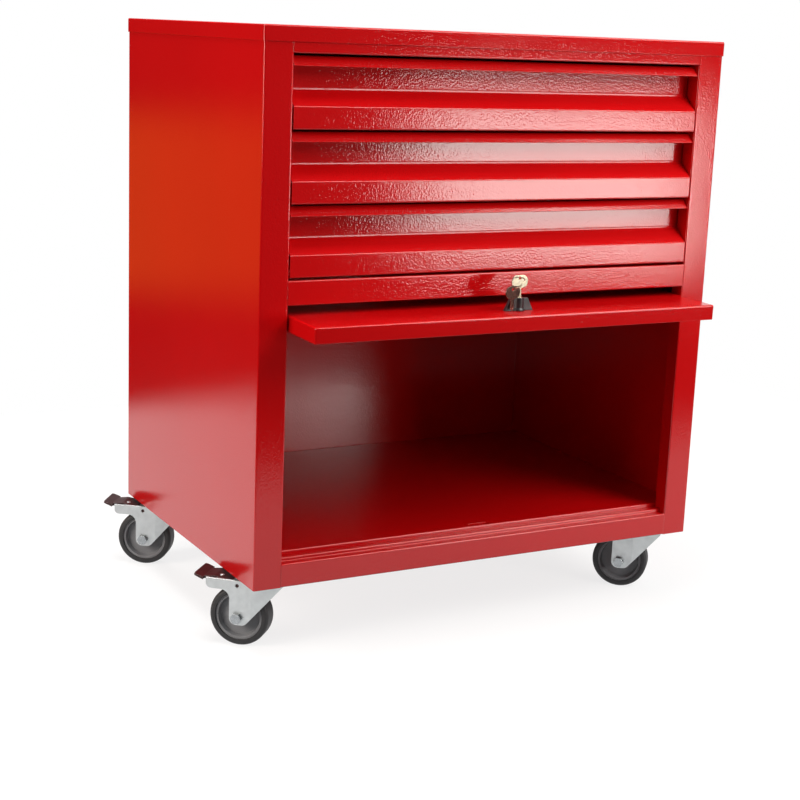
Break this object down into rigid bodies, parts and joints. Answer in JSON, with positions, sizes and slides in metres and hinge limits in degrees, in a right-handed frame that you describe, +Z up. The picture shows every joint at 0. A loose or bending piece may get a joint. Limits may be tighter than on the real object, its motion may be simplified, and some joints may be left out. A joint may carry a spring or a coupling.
{
  "type": "rolling tool cabinet",
  "caption": "Sheet-metal tool cabinet on swivel casters: drawers with finger recesses above an open compartment whose door tilts up and slides in, with a wing-knob lock.",
  "frame": {"origin": "on the floor under the middle of the body", "axes": "+Z up, +Y from front to back, +X to the right as seen from the front"},
  "size_m": [0.7262, 0.5545, 0.7914],
  "materials": {
    "red_paint": "glossy textured powder coat",
    "zinc": "zinc plated",
    "black_plastic": "gloss",
    "tyre_rubber": "satin",
    "hub_plastic": "matte",
    "nylon": "matte",
    "nickel": "polished",
    "pedal_paint": "satin"
  },
  "bodies": {
    "cabinet": {"side_panel_left": "red_paint", "side_panel_right": "red_paint", "back_panel": "red_paint", "compartment_floor": "red_paint", "bottom_rail": "red_paint", "mid_rail": "red_paint", "top_rail": "red_paint", "seam_beads": "red_paint", "top_lid": "red_paint", "slide_liner_left": "red_paint", "slide_liner_right": "red_paint", "base_channel_left": "red_paint", "base_channel_right": "red_paint", "outer_runners": "zinc", "door_track_left": "zinc", "door_track_right": "zinc", "caster_bolts": "zinc", "caster_plate_front_left": "zinc", "caster_plate_rear_left": "zinc", "caster_plate_front_right": "zinc", "caster_plate_rear_right": "zinc"},
    "drawer_bottom": {"drawer_front_bottom": "red_paint", "drawer_box_bottom": "red_paint", "inner_runners_bottom": "zinc"},
    "runner_bottom": {"mid_runners_bottom": "zinc"},
    "drawer_middle": {"drawer_front_middle": "red_paint", "drawer_box_middle": "red_paint", "inner_runners_middle": "zinc"},
    "runner_middle": {"mid_runners_middle": "zinc"},
    "drawer_top": {"drawer_front_top": "red_paint", "drawer_box_top": "red_paint", "inner_runners_top": "zinc"},
    "runner_top": {"mid_runners_top": "zinc"},
    "door_carriage": {"door_carriage": "zinc", "door_glides": "nylon"},
    "door": {"door_panel": "red_paint"},
    "lock": {"lock_knob": "black_plastic", "lock_cam": "zinc"},
    "key": {"lock_plug": "nickel", "key": "nickel"},
    "spare_key": {"key_ring": "nickel", "spare_key": "nickel"},
    "fork_front_left": {"caster_fork_front_left": "zinc", "caster_axle_front_left": "zinc"},
    "wheel_front_left": {"wheel_hub_front_left": "hub_plastic", "wheel_tyre_front_left": "tyre_rubber"},
    "pedal_front_left": {"brake_pedal_front_left": "pedal_paint"},
    "fork_rear_left": {"caster_fork_rear_left": "zinc", "caster_axle_rear_left": "zinc"},
    "wheel_rear_left": {"wheel_hub_rear_left": "hub_plastic", "wheel_tyre_rear_left": "tyre_rubber"},
    "pedal_rear_left": {"brake_pedal_rear_left": "pedal_paint"},
    "fork_front_right": {"caster_fork_front_right": "zinc", "caster_axle_front_right": "zinc"},
    "wheel_front_right": {"wheel_hub_front_right": "hub_plastic", "wheel_tyre_front_right": "tyre_rubber"},
    "fork_rear_right": {"caster_fork_rear_right": "zinc", "caster_axle_rear_right": "zinc"},
    "wheel_rear_right": {"wheel_hub_rear_right": "hub_plastic", "wheel_tyre_rear_right": "tyre_rubber"}
  },
  "joints": [
    {"name": "drawer_bottom_slide", "type": "slide", "parent": "cabinet", "child": "drawer_bottom", "axis": [0, -1, 0], "range_m": [0, 0.385]},
    {"name": "runner_bottom_slide", "type": "slide", "parent": "cabinet", "child": "runner_bottom", "axis": [0, -1, 0], "range_m": [0, 0.1925]},
    {"name": "drawer_middle_slide", "type": "slide", "parent": "cabinet", "child": "drawer_middle", "axis": [0, -1, 0], "range_m": [0, 0.385]},
    {"name": "runner_middle_slide", "type": "slide", "parent": "cabinet", "child": "runner_middle", "axis": [0, -1, 0], "range_m": [0, 0.1925]},
    {"name": "drawer_top_slide", "type": "slide", "parent": "cabinet", "child": "drawer_top", "axis": [0, -1, 0], "range_m": [0, 0.385]},
    {"name": "runner_top_slide", "type": "slide", "parent": "cabinet", "child": "runner_top", "axis": [0, -1, 0], "range_m": [0, 0.1925]},
    {"name": "door_slide", "type": "slide", "parent": "cabinet", "child": "door_carriage", "axis": [0, -0.9997, -0.0227], "range_m": [0, 0.218]},
    {"name": "door_swing", "type": "hinge", "parent": "door_carriage", "child": "door", "pos_m": [0, -0.00706, 0.44045], "axis": [1, 0, 0], "range_deg": [0, 88.7]},
    {"name": "knob_turn", "type": "hinge", "parent": "door", "child": "lock", "pos_m": [0.006, -0.27371, 0.4444], "axis": [0, -0.0227, 0.9997], "range_deg": [-90, 0]},
    {"name": "key_turn", "type": "hinge", "parent": "lock", "child": "key", "pos_m": [0.006, -0.27371, 0.4444], "axis": [0, -0.0227, 0.9997], "range_deg": [0, 90]},
    {"name": "spare_key_swing", "type": "hinge", "parent": "key", "child": "spare_key", "pos_m": [0.006, -0.27467, 0.48639], "axis": [0, 0.9997, 0.0227], "range_deg": [0, 40]},
    {"name": "swivel_front_left", "type": "hinge", "parent": "cabinet", "child": "fork_front_left", "pos_m": [-0.304, -0.179, 0.09], "axis": [0, 0, 1], "continuous": true},
    {"name": "roll_front_left", "type": "hinge", "parent": "fork_front_left", "child": "wheel_front_left", "pos_m": [-0.32301, -0.16127, 0.04], "axis": [0.682, 0.7314, 0], "continuous": true},
    {"name": "brake_front_left", "type": "hinge", "parent": "fork_front_left", "child": "pedal_front_left", "pos_m": [-0.32301, -0.16127, 0.084], "axis": [-0.682, -0.7314, 0], "range_deg": [0, 9.5]},
    {"name": "swivel_rear_left", "type": "hinge", "parent": "cabinet", "child": "fork_rear_left", "pos_m": [-0.304, 0.179, 0.09], "axis": [0, 0, 1], "continuous": true},
    {"name": "roll_rear_left", "type": "hinge", "parent": "fork_rear_left", "child": "wheel_rear_left", "pos_m": [-0.32503, 0.19428, 0.04], "axis": [0.5878, 0.809, 0], "continuous": true},
    {"name": "brake_rear_left", "type": "hinge", "parent": "fork_rear_left", "child": "pedal_rear_left", "pos_m": [-0.32503, 0.19428, 0.084], "axis": [-0.5878, -0.809, 0], "range_deg": [0, 9.5]},
    {"name": "swivel_front_right", "type": "hinge", "parent": "cabinet", "child": "fork_front_right", "pos_m": [0.304, -0.179, 0.09], "axis": [0, 0, 1], "continuous": true},
    {"name": "roll_front_right", "type": "hinge", "parent": "fork_front_right", "child": "wheel_front_right", "pos_m": [0.2853, -0.16094, 0.04], "axis": [0.6947, 0.7193, 0], "continuous": true},
    {"name": "swivel_rear_right", "type": "hinge", "parent": "cabinet", "child": "fork_rear_right", "pos_m": [0.304, 0.179, 0.09], "axis": [0, 0, 1], "continuous": true},
    {"name": "roll_rear_right", "type": "hinge", "parent": "fork_rear_right", "child": "wheel_rear_right", "pos_m": [0.28351, 0.19501, 0.04], "axis": [0.6157, 0.788, 0], "continuous": true}
  ],
  "couplings": [
    {"joint": "runner_bottom_slide", "follows": "drawer_bottom_slide", "ratio": 0.5},
    {"joint": "runner_middle_slide", "follows": "drawer_middle_slide", "ratio": 0.5},
    {"joint": "runner_top_slide", "follows": "drawer_top_slide", "ratio": 0.5}
  ]
}
